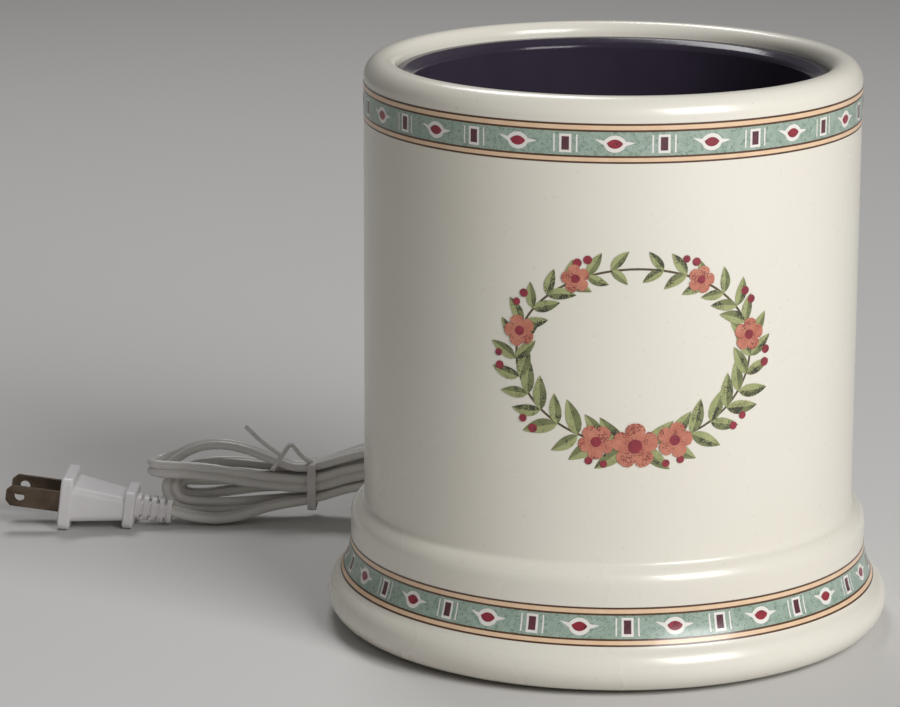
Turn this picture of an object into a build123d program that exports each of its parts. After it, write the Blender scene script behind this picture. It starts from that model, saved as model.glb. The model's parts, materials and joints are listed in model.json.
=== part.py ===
from build123d import *
import os
from math import acos, atan2, cos, degrees, hypot, pi, radians, sin, tan

# Electric jar-candle warmer: a glazed stoneware crock with a heated metal well,
# a cover under its foot, and a flat mains lead tied in a hank behind it.
# Millimetres, +Z up, origin on the table under the crock's axis, front towards -Y.

# Crock, outside
body_dia = 140.0
crock_height = 161.7
foot_lift = 1.2
collar_step = 3.9
foot_flare = 6.6
foot_round = 6.5
foot_top_angle = 78.0
cove_depth = 0.5
cove_mid_height = 18.5
cove_top_height = 24.5
collar_height = 28.7
shoulder_round = 5.2
shoulder_fillet = 1.8
rim_out_round = 5.4
crown_flat = 0.2

# Crock, inside
rim_width = 9.0
mouth_depth = 6.5
wall = 4.6
ledge_width = 2.4
ledge_thick = 5.0
ledge_slope = 7.0
skirt_wall = 7.9
skirt_top_height = 31.0
rabbet_width = 2.5
rabbet_depth = 4.0

# Heated well
well_thick = 1.2
well_floor_height = 42.6
well_corner = 2.0
well_floor_round = 8.0
lip_width = 2.0
lip_slope = 3.0
lip_drop = 1.6
gasket_thick = 1.2
gasket_width = 1.4
fit_gap = 0.4

# Wrap-round heater, its strap and its insulation
heater_thick = 1.4
heater_above_floor = 10.0
heater_below_lip = 49.0
heater_gap = 44.0
slip_gap = 0.1
strap_width = 8.0
strap_thick = 0.5
strap_gap = 9.0
ear_margin = 1.9
screw_dia = 2.5
screw_head_dia = 4.8
screw_head_thick = 1.8
screw_end = 1.0
nut_across = 4.6
nut_thick = 2.0
insulation_thick = 3.2
insulation_overlap = 4.0
insulation_gap = 30.0

# Stud that draws the well and the cover together
stud_dia = 5.0
stud_flange_dia = 12.0
stud_flange_thick = 1.2
spacer_dia = 9.0
spacer_length = 7.0
bore_gap = 0.2
stud_nut_across = 8.0
stud_nut_thick = 4.0
washer_thick = 1.1
washer_dia = 9.2
washer_slit = 0.8
stud_end = 1.0

# Heat shield
shield_inset = 5.6
shield_thick = 0.8
shield_rim = 3.0
wire_hole_dia = 7.0

# Thermal fuse under the well
fuse_length = 20.0
fuse_dia = 5.0
fuse_neck_dia = 3.4
fuse_neck_length = 3.0
fuse_offset_share = 0.2518
clip_width = 6.0
clip_thick = 0.6
clip_foot = 4.0

# Base cover and its rubber feet
cover_thick = 1.5
cover_dish_dia = 26.0
cover_dish_slope = 6.0
cover_dish_height = 6.0
vent_count = 12
vent_length = 11.0
vent_width = 3.0
vent_margin = 32.1
feet_count = 4
pad_margin = 15.1
pad_dia = 13.0
pad_stem_dia = 5.0
pad_barb_dia = 7.0
pad_barb_height = 2.6

# Inner wires and their splices
wire_dia = 1.8
wire_bend = 4.0
wire_pitch = 3.0
splice_dia = 5.0
splice_setback = 16.6
fuse_run = 11.0
live_splice_x = -26.0
neutral_splice_x = 34.0
live_terminal_angle = 62.0
neutral_terminal_angle = 15.0

# Cord entry at the rear
cord_height = 24.0
entry_dia = 9.4
entry_barb_dia = 11.2
entry_barb_thick = 2.4
entry_tail = 2.0
entry_tail_dia = 7.2
entry_flange_dia = 13.0
entry_flange_thick = 2.0
boot_length = 24.0
boot_root_dia = 10.0
boot_tip_dia = 7.4
boot_grooves = 5
boot_groove_width = 1.6
boot_groove_depth = 0.9

# Flat twin cord
cord_width = 5.6
cord_thick = 2.8
lead_run = 14.0
lead_swing = 26.0
lead_side = 11.0
lead_cross = 21.0
lead_drop = (4.0, 10.0)
lead_join = 23.0
tail_run = 15.0
tail_dip = (24.0, -9.0, -7.0)
tail_join = 9.0

# Hank, in its own axes: along to the plug's side, up, and across away from the front
hank_turn = 6.0
hank_side = 82.2
hank_behind = 1.1
hank_height = 12.3
layer_step = 6.5
waist_step = 3.3
waist_straight = 3.0
hank_end = 6.0
loop_step = 3.5
first_loop = 10.8
right_spread = 1.2
right_rise = 6.5
left_reach = (50.0, 45.5, 47.0)
right_reach = (60.0, 56.0, 59.0)

# Twist tie
tie_width = 2.6
tie_thick = 0.8
tie_room = 0.35
tie_wire_dia = 1.5
tie_bent_end = ((6.0, 8.0, 0.0), (12.0, 2.2, -1.0))
tie_free_end = ((9.5, 4.6, -0.6), (13.5, 7.5, -2.0), (19.5, 14.5, -3.0))

# Two-blade plug
plug_along = 77.6
plug_across = -10.0
plug_face_width = 20.0
plug_face_height = 16.5
plug_face_thick = 3.8
plug_body_length = 16.0
plug_body_front = (18.6, 11.4)
plug_body_rear = (14.6, 7.6)
plug_heel_width = 15.6
plug_heel_height = 11.7
plug_heel_thick = 3.4
plug_round = 2.4
plug_edge = 0.7
relief_length = 11.3
relief_ribs = 5
relief_rib = 1.45
relief_front = (7.2, 7.6)
relief_core = (6.4, 4.6)
blade_width = 6.35
blade_thick = 1.5
blade_length = 17.0
blade_spacing = 12.7
blade_hole_dia = 3.2
blade_hole_from_tip = 4.2

# Places worked out from the sizes
body_r = body_dia / 2
collar_r = body_r + collar_step
foot_r = collar_r + foot_flare
cove_r = collar_r - cove_depth
mouth_r = body_r - rim_width
crock_base = foot_lift
crock_top = crock_base + crock_height
rim_in_round = body_r - mouth_r - rim_out_round - crown_flat
ledge_z = crock_top - mouth_depth
ledge_r = mouth_r - ledge_width
cavity_r = body_r - wall
rabbet_top = crock_base + rabbet_depth
skirt_r = collar_r - skirt_wall
rabbet_r = skirt_r + rabbet_width
shoulder_angle = acos(1 - (collar_r - body_r) / (shoulder_round + shoulder_fillet))
shoulder_rise = (shoulder_round + shoulder_fillet) * sin(shoulder_angle)
lip_z = ledge_z + gasket_thick + well_thick
flange_r = mouth_r - fit_gap
lip_in_r = flange_r - lip_width
well_r = lip_in_r - lip_slope
well_floor = crock_base + well_floor_height
well_under = well_floor - well_thick
well_out_r = well_r + well_thick
heater_r = well_out_r + slip_gap
heater_out_r = heater_r + heater_thick
heater_z = well_floor + heater_above_floor
heater_height = lip_z - heater_below_lip - heater_z
strap_r = heater_out_r + slip_gap
strap_z = heater_z + heater_height / 2
insulation_r = strap_r + strap_thick + slip_gap
stud_seat = well_under - stud_flange_thick
shield_top = stud_seat - spacer_length
shield_under = shield_top - shield_thick
shield_r = well_r - shield_inset
cover_top = rabbet_top
cover_under = cover_top - cover_thick
cover_r = rabbet_r - fit_gap
vent_ring_r = cover_r - vent_margin
feet_ring_r = cover_r - pad_margin
dish_r = cover_dish_dia / 2
dish_under = cover_under + cover_dish_height
washer_under = dish_under - washer_thick
stud_nut_z = washer_under - stud_nut_thick
stud_low = stud_nut_z - stud_end
fuse_z = well_under - fuse_dia / 2 - slip_gap
fuse_offset = well_r * fuse_offset_share
splice_z = cover_top + splice_dia / 2 + slip_gap
entry_in = skirt_r - entry_barb_thick - entry_tail
splice_rear_y = entry_in - splice_setback
splice_front_y = fuse_offset + fuse_run
splice_length = splice_rear_y - splice_front_y
boot_tip_y = collar_r + slip_gap + entry_flange_thick + boot_length
screw_y = strap_r + strap_thick + slip_gap + nut_across / 3 ** 0.5
ear_y = screw_y + ear_margin


def ring(outer, inner):
    """A flat ring about the axis, in the sketch that is open."""
    Circle(outer)
    Circle(inner, mode=Mode.SUBTRACT)


def open_ring(outer, inner, gap):
    """A ring with a gap of the given width cut out at the rear."""
    ring(outer, inner)
    with Locations((0, outer)):
        Rectangle(gap, outer, mode=Mode.SUBTRACT)


# Crock: foot, cove with the lower band, collar, shoulder, straight wall and rolled rim
with BuildPart() as outer_shell:
    with BuildSketch(Plane.XZ):
        with BuildLine():
            Line((rabbet_r, crock_base), (foot_r - foot_round, crock_base))
            foot_arc = CenterArc(
                (foot_r - foot_round, crock_base + foot_round), foot_round, -90, 90 + foot_top_angle
            )
            ThreePointArc(
                foot_arc @ 1,
                (cove_r, crock_base + cove_mid_height),
                (collar_r, crock_base + cove_top_height),
            )
            Line((collar_r, crock_base + cove_top_height), (collar_r, crock_base + collar_height))
            CenterArc(
                (collar_r - shoulder_round, crock_base + collar_height),
                shoulder_round, 0, degrees(shoulder_angle),
            )
            hollow = CenterArc(
                (body_r + shoulder_fillet, crock_base + collar_height + shoulder_rise),
                shoulder_fillet, 180 + degrees(shoulder_angle), -degrees(shoulder_angle),
            )
            Line(hollow @ 1, (body_r, crock_top - rim_out_round))
            CenterArc((body_r - rim_out_round, crock_top - rim_out_round), rim_out_round, 0, 90)
            Line((body_r - rim_out_round, crock_top), (mouth_r + rim_in_round, crock_top))
            CenterArc((mouth_r + rim_in_round, crock_top - rim_in_round), rim_in_round, 90, 90)
            Polyline(
                (mouth_r, crock_top - rim_in_round),
                (mouth_r, ledge_z),
                (ledge_r, ledge_z),
                (ledge_r, ledge_z - ledge_thick),
                (cavity_r, ledge_z - ledge_thick - ledge_slope),
                (cavity_r, crock_base + skirt_top_height + skirt_r - cavity_r),
                (skirt_r, crock_base + skirt_top_height),
                (skirt_r, rabbet_top),
                (rabbet_r, rabbet_top),
                (rabbet_r, crock_base),
            )
        make_face()
    revolve(axis=Axis.Z)
    with BuildSketch(Plane((0, 0, cord_height), x_dir=(1, 0, 0), z_dir=(0, 1, 0))):
        Circle(entry_dia / 2)
    extrude(amount=foot_r, mode=Mode.SUBTRACT)
outer_shell.part.label = "outer_shell"

# Silicone ring between the ledge and the well's lip
with BuildPart() as well_gasket:
    with BuildSketch(Plane.XY.offset(ledge_z)):
        ring(flange_r, flange_r - gasket_width)
    extrude(amount=gasket_thick)
well_gasket.part.label = "well_gasket"

# Spun well: flat lip, a slope in, a rolled corner, straight wall and round-edged floor
with BuildPart() as heat_well:
    with BuildSketch(Plane.XZ):
        outer_slope = lip_drop * (lip_in_r - well_out_r) / lip_slope
        outer_corner = well_corner - well_thick / 2
        with BuildLine():
            FilletPolyline(
                (flange_r, lip_z),
                (lip_in_r, lip_z),
                (well_r, lip_z - lip_drop),
                (well_r, well_floor),
                (0, well_floor),
                radius=[well_corner, well_corner, well_floor_round],
            )
            FilletPolyline(
                (flange_r, lip_z - well_thick),
                (lip_in_r, lip_z - well_thick),
                (well_out_r, lip_z - well_thick - outer_slope),
                (well_out_r, well_under),
                (0, well_under),
                radius=[outer_corner, outer_corner, well_floor_round + well_thick],
            )
            Line((flange_r, lip_z), (flange_r, lip_z - well_thick))
            Line((0, well_floor), (0, well_under))
        make_face()
    revolve(axis=Axis.Z)
heat_well.part.label = "heat_well"

# Silicone heater wrapped round the well, open at the rear
with BuildPart() as heater_band:
    with BuildSketch(Plane.XY.offset(heater_z)):
        open_ring(heater_out_r, heater_r, heater_gap)
    extrude(amount=heater_height)
heater_band.part.label = "heater_band"

# Steel strap that clamps the heater, with two ears at the rear
with BuildPart() as band_strap:
    with BuildSketch(Plane.XY.offset(strap_z - strap_width / 2)):
        open_ring(strap_r + strap_thick, strap_r, strap_gap)
        for side in (-1, 1):
            with Locations((side * (strap_gap + strap_thick) / 2, (strap_r + ear_y) / 2)):
                Rectangle(strap_thick, ear_y - strap_r)
    extrude(amount=strap_width)
    with BuildSketch(Plane.YZ.offset(-strap_gap)):
        with Locations((screw_y, strap_z)):
            Circle(screw_dia / 2 + bore_gap)
    extrude(amount=2 * strap_gap, mode=Mode.SUBTRACT)
band_strap.part.label = "band_strap"

# Clamp screw across the ears, head on the right
ear_face = strap_gap / 2 + strap_thick
with BuildPart() as strap_screw:
    with BuildSketch(Plane.YZ.offset(ear_face)):
        with Locations((screw_y, strap_z)):
            Circle(screw_head_dia / 2)
    extrude(amount=screw_head_thick)
    fillet(strap_screw.faces().sort_by(Axis.X)[-1].edges(), screw_head_thick / 3)
    with BuildSketch(Plane.YZ.offset(-ear_face - nut_thick - screw_end)):
        with Locations((screw_y, strap_z)):
            Circle(screw_dia / 2)
    extrude(amount=2 * ear_face + nut_thick + screw_end)
strap_screw.part.label = "strap_screw"

with BuildPart() as strap_nut:
    with BuildSketch(Plane.YZ.offset(-ear_face - nut_thick)):
        with Locations((screw_y, strap_z)):
            RegularPolygon(nut_across / 2, 6, major_radius=False)
            Circle(screw_dia / 2, mode=Mode.SUBTRACT)
    extrude(amount=nut_thick)
strap_nut.part.label = "strap_nut"

# Glass felt round the heater, open at the rear for the strap's ears
with BuildPart() as insulation_sleeve:
    with BuildSketch(Plane.XY.offset(heater_z - insulation_overlap)):
        open_ring(insulation_r + insulation_thick, insulation_r, insulation_gap)
    extrude(amount=heater_height + 2 * insulation_overlap)
insulation_sleeve.part.label = "insulation_sleeve"

# Stud welded under the well's floor
with BuildPart() as well_stud:
    with BuildSketch(Plane.XY.offset(stud_seat)):
        Circle(stud_flange_dia / 2)
    extrude(amount=stud_flange_thick)
    with BuildSketch(Plane.XY.offset(stud_low)):
        Circle(stud_dia / 2)
    extrude(amount=stud_seat - stud_low)
    chamfer(well_stud.faces().sort_by(Axis.Z)[0].edges(), stud_end / 2)
well_stud.part.label = "well_stud"

with BuildPart() as stud_spacer:
    with BuildSketch(Plane.XY.offset(shield_top)):
        ring(spacer_dia / 2, stud_dia / 2 + bore_gap)
    extrude(amount=spacer_length)
stud_spacer.part.label = "stud_spacer"

# Dished sheet that keeps the heat off the wiring, with a hole for the fuse's wire
with BuildPart() as heat_shield:
    with BuildSketch(Plane.XY.offset(shield_under)):
        ring(shield_r, stud_dia / 2 + bore_gap)
        with Locations((live_splice_x, fuse_offset)):
            Circle(wire_hole_dia / 2, mode=Mode.SUBTRACT)
    extrude(amount=shield_thick)
    with BuildSketch(Plane.XY.offset(shield_under - shield_rim)):
        ring(shield_r, shield_r - shield_thick)
    extrude(amount=shield_rim)
heat_shield.part.label = "heat_shield"

# Two like nuts on the stud: one under the shield, one under the cover
with BuildPart() as stud_nuts:
    for nut_z in (shield_under - stud_nut_thick, stud_nut_z):
        with BuildSketch(Plane.XY.offset(nut_z)):
            RegularPolygon(stud_nut_across / 2, 6, major_radius=False)
            Circle(stud_dia / 2, mode=Mode.SUBTRACT)
        extrude(amount=stud_nut_thick)
stud_nuts.part.label = "stud_nuts"

with BuildPart() as lock_washer:
    with BuildSketch(Plane.XY.offset(washer_under)):
        open_ring(washer_dia / 2, stud_dia / 2 + bore_gap, washer_slit)
    extrude(amount=washer_thick)
lock_washer.part.label = "lock_washer"

# Thermal fuse in its sleeve, held to the floor by a saddle clip
with BuildPart() as thermal_fuse:
    with BuildSketch(Plane.YZ.offset(-fuse_length / 2)):
        with Locations((fuse_offset, fuse_z)):
            Circle(fuse_neck_dia / 2)
    extrude(amount=fuse_length)
    with BuildSketch(Plane.YZ.offset(-fuse_length / 2 + fuse_neck_length)):
        with Locations((fuse_offset, fuse_z)):
            Circle(fuse_dia / 2)
    extrude(amount=fuse_length - 2 * fuse_neck_length)
thermal_fuse.part.label = "thermal_fuse"

saddle_r = fuse_dia / 2 + slip_gap
saddle_rise = well_under - fuse_z
with BuildPart() as fuse_clip:
    with BuildSketch(Plane.YZ.offset(-clip_width / 2)):
        with Locations((fuse_offset, fuse_z)):
            Circle(saddle_r + clip_thick)
        with Locations((fuse_offset, fuse_z + saddle_rise / 2)):
            Rectangle(2 * (saddle_r + clip_thick), saddle_rise)
        with Locations((fuse_offset, well_under - clip_thick / 2)):
            Rectangle(2 * (saddle_r + clip_thick + clip_foot), clip_thick)
        with Locations((fuse_offset, fuse_z)):
            Circle(saddle_r, mode=Mode.SUBTRACT)
        with Locations((fuse_offset, well_under + saddle_r)):
            Rectangle(4 * saddle_r, 2 * saddle_r, mode=Mode.SUBTRACT)
        with Locations((fuse_offset, fuse_z + saddle_rise / 2)):
            Rectangle(2 * saddle_r, saddle_rise, mode=Mode.SUBTRACT)
    extrude(amount=clip_width)
fuse_clip.part.label = "fuse_clip"

# Pressed base cover: flat rim in the rabbet, dish for the nut, vents and holes for the feet
with BuildPart() as base_cover:
    with BuildSketch(Plane.XZ):
        with BuildLine():
            Polyline(
                (stud_dia / 2 + bore_gap, dish_under),
                (dish_r, dish_under),
                (dish_r + cover_dish_slope, cover_under),
                (cover_r, cover_under),
                (cover_r, cover_top),
                (dish_r + cover_dish_slope, cover_top),
                (dish_r, dish_under + cover_thick),
                (stud_dia / 2 + bore_gap, dish_under + cover_thick),
                close=True,
            )
        make_face()
    revolve(axis=Axis.Z)
    with BuildSketch(Plane.XY.offset(cover_under)):
        with PolarLocations(vent_ring_r, vent_count, start_angle=180 / vent_count):
            SlotOverall(vent_length, vent_width)
        with PolarLocations(feet_ring_r, feet_count):
            Circle(pad_stem_dia / 2 + slip_gap)
    extrude(amount=cover_thick, mode=Mode.SUBTRACT)
base_cover.part.label = "base_cover"

# Push-in rubber feet, which stand just proud of the crock's foot ring
with BuildPart() as rubber_feet:
    with BuildSketch():
        with PolarLocations(feet_ring_r, feet_count):
            Circle(pad_dia / 2)
    extrude(amount=cover_under, taper=6)
    with BuildSketch(Plane.XY.offset(cover_under)):
        with PolarLocations(feet_ring_r, feet_count):
            Circle(pad_stem_dia / 2)
    extrude(amount=cover_thick)
    with BuildSketch(Plane.XY.offset(cover_top)):
        with PolarLocations(feet_ring_r, feet_count):
            Circle(pad_barb_dia / 2)
    extrude(amount=pad_barb_height, taper=20)
rubber_feet.part.label = "rubber_feet"

# Moulded cord entry: barb inside, flange outside and a grooved, tapering boot
with BuildPart() as strain_relief:
    with BuildSketch(Plane.YZ):
        with BuildLine():
            Polyline(
                (entry_in, cord_height),
                (entry_in, cord_height + entry_tail_dia / 2),
                (entry_in + entry_tail, cord_height + entry_tail_dia / 2),
                (skirt_r - 2 * fit_gap, cord_height + entry_barb_dia / 2),
                (skirt_r - 2 * fit_gap, cord_height + entry_dia / 2 - bore_gap),
                (collar_r + slip_gap, cord_height + entry_dia / 2 - bore_gap),
                (collar_r + slip_gap, cord_height + entry_flange_dia / 2),
                (boot_tip_y - boot_length, cord_height + entry_flange_dia / 2),
                (boot_tip_y - boot_length, cord_height + boot_root_dia / 2),
                (boot_tip_y, cord_height + boot_tip_dia / 2),
                (boot_tip_y, cord_height),
                close=True,
            )
        make_face()
    revolve(axis=Axis((0, 0, cord_height), (0, 1, 0)))
    groove_pitch = boot_length / (boot_grooves + 1)
    for index in range(boot_grooves):
        groove_y = boot_tip_y - boot_length + (index + 1) * groove_pitch
        taper_here = (index + 1) / (boot_grooves + 1)
        boot_dia = boot_root_dia + (boot_tip_dia - boot_root_dia) * taper_here
        with BuildSketch(Plane((0, groove_y - boot_groove_width / 2, cord_height), (1, 0, 0), (0, 1, 0))):
            ring(boot_root_dia, boot_dia / 2 - boot_groove_depth)
        extrude(amount=boot_groove_width, mode=Mode.SUBTRACT)
strain_relief.part.label = "strain_relief"


# Inner wiring
def wire(points, bend):
    """A round wire along straight runs with like bends, for the part that is open."""
    with BuildLine() as route:
        FilletPolyline(*points, radius=bend)
    start = Plane(route.line @ 0, z_dir=route.line % 0)
    with BuildSketch(start) as section:
        Circle(wire_dia / 2)
    sweep(section.sketch, path=route.line)


def terminal(angle):
    """Where a heater wire leaves the heater's lower edge."""
    radius = heater_r + wire_dia / 2 + slip_gap
    return radius * cos(radians(angle)), radius * sin(radians(angle))


live_x, live_y = terminal(live_terminal_angle)
neutral_x, neutral_y = terminal(neutral_terminal_angle)
entry_bend_y = entry_in - wire_bend

with BuildPart() as live_lead:
    wire(
        [
            (-wire_pitch / 2, entry_in, cord_height),
            (-wire_pitch / 2, entry_bend_y, cord_height),
            (live_splice_x, splice_rear_y + 2 * wire_bend, splice_z),
            (live_splice_x, splice_rear_y, splice_z),
        ],
        wire_bend / 2,
    )
live_lead.part.label = "live_lead"

with BuildPart() as neutral_lead:
    wire(
        [
            (wire_pitch / 2, entry_in, cord_height),
            (wire_pitch / 2, entry_bend_y, cord_height),
            (neutral_splice_x, splice_rear_y + 2 * wire_bend, splice_z),
            (neutral_splice_x, splice_rear_y, splice_z),
        ],
        wire_bend / 2,
    )
neutral_lead.part.label = "neutral_lead"

with BuildPart() as wire_splices:
    with BuildSketch(Plane((0, splice_front_y, splice_z), (1, 0, 0), (0, 1, 0))):
        with Locations((live_splice_x, 0), (neutral_splice_x, 0)):
            Circle(splice_dia / 2)
    extrude(amount=splice_length)
    fillet(wire_splices.edges().filter_by(GeomType.CIRCLE), splice_dia / 6)
wire_splices.part.label = "wire_splices"

with BuildPart() as fuse_lead:
    wire(
        [
            (live_splice_x, splice_front_y, splice_z),
            (live_splice_x, fuse_offset, splice_z),
            (live_splice_x, fuse_offset, fuse_z),
            (-fuse_length / 2, fuse_offset, fuse_z),
        ],
        wire_bend,
    )
fuse_lead.part.label = "fuse_lead"

with BuildPart() as heater_leads:
    wire(
        [
            (live_x, live_y, heater_z),
            (live_x, live_y, fuse_z),
            (live_x, fuse_offset, fuse_z),
            (fuse_length / 2, fuse_offset, fuse_z),
        ],
        wire_bend,
    )
    wire(
        [
            (neutral_x, neutral_y, heater_z),
            (neutral_x, neutral_y, splice_z),
            (neutral_splice_x, neutral_y, splice_z),
            (neutral_splice_x, splice_front_y, splice_z),
        ],
        wire_bend,
    )
heater_leads.part.label = "heater_leads"

# Axes of the hank: along towards the plug, across away from the front, up
along = Vector(-cos(radians(hank_turn)), sin(radians(hank_turn)), 0)
across = Vector(sin(radians(hank_turn)), cos(radians(hank_turn)), 0)
up = Vector(0, 0, 1)
hank_centre = Vector(-hank_side, boot_tip_y + hank_behind, hank_height)


def hank_point(u, v, w):
    """A point given along, up and across from the middle of the hank's waist."""
    return hank_centre + along * u + up * v + across * w


# Plug: it lies on its face plate and its heel, so its blades point a little upwards
heel_end = plug_face_thick + plug_body_length + plug_heel_thick
plug_tilt = atan2((plug_face_height - plug_heel_height) / 2, heel_end - plug_face_thick)
plug_rest = plug_face_thick * sin(plug_tilt) + plug_face_height / 2 * cos(plug_tilt) + slip_gap
plug_axis = along * cos(plug_tilt) + up * sin(plug_tilt)
plug_face = hank_point(plug_along, plug_rest - hank_height, plug_across)
plug_plane = Plane(plug_face, x_dir=across * -1, z_dir=plug_axis)
relief_end = heel_end + relief_length

with BuildPart() as plug_body:
    with BuildSketch(plug_plane.offset(-plug_face_thick)):
        RectangleRounded(plug_face_width, plug_face_height, plug_round)
    extrude(amount=plug_face_thick)
    with BuildSketch(plug_plane.offset(-heel_end)):
        RectangleRounded(plug_heel_width, plug_heel_height, plug_round)
    extrude(amount=plug_heel_thick)
    fillet(plug_body.edges().filter_by(Axis((0, 0, 0), plug_axis), reverse=True), plug_edge)
    with BuildSketch(plug_plane.offset(-plug_face_thick)):
        RectangleRounded(*plug_body_front, plug_round)
    with BuildSketch(plug_plane.offset(plug_heel_thick - heel_end)):
        RectangleRounded(*plug_body_rear, plug_round)
    loft()
    with BuildSketch(plug_plane.offset(-relief_end)):
        RectangleRounded(*relief_core, plug_round / 2)
    extrude(amount=relief_length)
    rib_pitch = (relief_length - relief_rib) / (relief_ribs - 1)
    for index in range(relief_ribs):
        with BuildSketch(plug_plane.offset(index * rib_pitch - relief_end)):
            RectangleRounded(*relief_front, plug_round)
        extrude(amount=relief_rib)
plug_body.part.label = "plug_body"

with BuildPart() as plug_blades:
    for side in (-1, 1):
        blade_origin = plug_face + across * (side * blade_spacing / 2 - blade_thick / 2)
        with BuildSketch(Plane(blade_origin, x_dir=plug_axis, z_dir=across)):
            with Locations((blade_length / 2, 0)):
                Rectangle(blade_length, blade_width)
            with Locations((blade_length - blade_hole_from_tip, 0)):
                Circle(blade_hole_dia / 2, mode=Mode.SUBTRACT)
        extrude(amount=blade_thick)
    corners = plug_blades.edges().filter_by(Axis((0, 0, 0), across))
    chamfer(corners.group_by(Axis((0, 0, 0), plug_axis))[-1], blade_width / 4)
plug_blades.part.label = "plug_blades"


# Cord
def arc_radii(points):
    """The largest bends that the runs beside each corner allow."""
    radii = []
    for before, here, after in zip(points, points[1:], points[2:]):
        turn = radians((here - before).get_angle(after - here))
        run = min((here - before).length, (after - here).length)
        radii.append(0.45 * run / tan(turn / 2))
    return radii


def flat_cord(path, side):
    """The flat twin cord swept along a path, its width first laid along the given side."""
    with BuildSketch(Plane(path @ 0, x_dir=side, z_dir=path % 0)) as section:
        SlotOverall(cord_width, cord_thick)
    sweep(section.sketch, path=path)


far = layer_step / 2
near = -layer_step / 2
waist = [level * waist_step for level in (-2.25, 1.85, -1, 0.8, 0, 1, -2)]
hank_start = hank_point(-hank_end, waist[0], far)
hank_stop = hank_point(hank_end, waist[-1], near)
lead_points = [
    Vector(0, boot_tip_y, cord_height),
    Vector(0, boot_tip_y + lead_run, cord_height),
    Vector(-lead_side, boot_tip_y + lead_swing, cord_height - lead_drop[0]),
    Vector(-lead_side - lead_cross, boot_tip_y + lead_swing, cord_height - lead_drop[1]),
    hank_start - along * lead_join,
    hank_start,
]
tail_points = [
    hank_stop,
    hank_point(tail_run, waist[-1], near),
    hank_point(*tail_dip),
    plug_face - plug_axis * (relief_end + tail_join),
    plug_face - plug_axis * relief_end,
]

with BuildPart() as cord_lead:
    with BuildLine() as lead_line:
        FilletPolyline(*lead_points, radius=arc_radii(lead_points))
    flat_cord(lead_line.line, Vector(1, 0, 0))
cord_lead.part.label = "cord_lead"

with BuildPart() as cord_tail:
    with BuildLine() as tail_line:
        FilletPolyline(*tail_points, radius=arc_radii(tail_points))
    flat_cord(tail_line.line, across)
cord_tail.part.label = "cord_tail"

# Hank: heights of its strands at the waist and in its loops, in the order the cord runs.
# It spirals in over the far layer, climbs to the near one and spirals out again.
loop_heights = [first_loop - loop_step / 2 * index for index in range(5)]
left_loops = [
    (loop_heights[0], loop_heights[1], far),
    (loop_heights[2], loop_heights[3], far),
    (loop_heights[3], loop_heights[2], near),
]
right_loops = [
    (loop_heights[1], loop_heights[2], far, far),
    (loop_heights[3], loop_heights[4], far, near),
    (loop_heights[2], loop_heights[1], near, near),
]


def bow(start, stop, heading):
    """Two like arcs that leave and arrive along the same heading."""
    middle = (start + stop) * 0.5
    first = TangentArc(start, middle, tangent=heading)
    TangentArc(middle, stop, tangent=first % 1)


with BuildPart() as cord_hank:
    with BuildLine() as hank_line:
        here = hank_start
        for turn in range(3):
            low, high, layer = left_loops[turn]
            inward, outward = waist[2 * turn], waist[2 * turn + 1]
            bend = left_reach[turn] - (low + high) / 2
            leave = hank_point(waist_straight, inward, layer)
            Line(here, leave)
            bow(leave, hank_point(bend, -low, layer), along)
            TangentArc(hank_point(bend, -low, layer), hank_point(bend, high, layer), tangent=along)
            bow(hank_point(bend, high, layer), hank_point(waist_straight, outward, layer), along * -1)
            upper, lower, layer, next_layer = right_loops[turn]
            upper, lower = upper * right_spread, lower * right_spread
            bend = (upper + lower) / 2 - right_reach[turn]
            Line(hank_point(waist_straight, outward, layer), hank_point(-waist_straight, outward, layer))
            top = hank_point(bend, right_rise + upper, layer)
            bottom = hank_point(bend, right_rise - lower, layer)
            bow(hank_point(-waist_straight, outward, layer), top, along * -1)
            TangentArc(top, bottom, tangent=along * -1)
            following = waist[2 * turn + 2]
            here = hank_point(-waist_straight, following, next_layer)
            bow(bottom, here, along)
        Line(here, hank_stop)
    flat_cord(hank_line.line, across)
cord_hank.part.label = "cord_hank"

# Twist tie: a flat band round the waist, and its bent-over ends on top
tie_low = min(waist) - cord_thick / 2 - tie_room
tie_high = max(waist) + cord_thick / 2 + tie_room
tie_half = layer_step / 2 + cord_width / 2 + tie_room
tie_round = cord_thick / 2
with BuildPart() as twist_tie:
    with BuildSketch(Plane(hank_point(-tie_width / 2, (tie_low + tie_high) / 2, 0), across, along)):
        RectangleRounded(
            2 * (tie_half + tie_thick), tie_high - tie_low + 2 * tie_thick, tie_round + tie_thick
        )
        RectangleRounded(2 * tie_half, tie_high - tie_low, tie_round, mode=Mode.SUBTRACT)
    extrude(amount=tie_width)
    for end in (((0, tie_thick / 2, 0),) + tie_bent_end, tie_free_end):
        with BuildLine() as tie_line:
            FilletPolyline(
                *[hank_point(u, tie_high + v, near + w) for u, v, w in end], radius=tie_wire_dia
            )
        with BuildSketch(Plane(tie_line.line @ 0, z_dir=tie_line.line % 0)):
            Circle(tie_wire_dia / 2)
        sweep(path=tie_line.line)
twist_tie.part.label = "twist_tie"

pieces = [
    outer_shell, heat_well, well_gasket, heater_band, band_strap, strap_screw, strap_nut,
    insulation_sleeve, well_stud, stud_spacer, heat_shield, stud_nuts, lock_washer, thermal_fuse,
    fuse_clip, base_cover, rubber_feet, strain_relief, live_lead, neutral_lead, wire_splices,
    fuse_lead, heater_leads, cord_lead, cord_hank, cord_tail, twist_tie, plug_body, plug_blades,
]
os.makedirs("parts", exist_ok=True)
for piece in pieces:
    export_step(piece.part, f"parts/{piece.part.label}.step")

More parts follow.
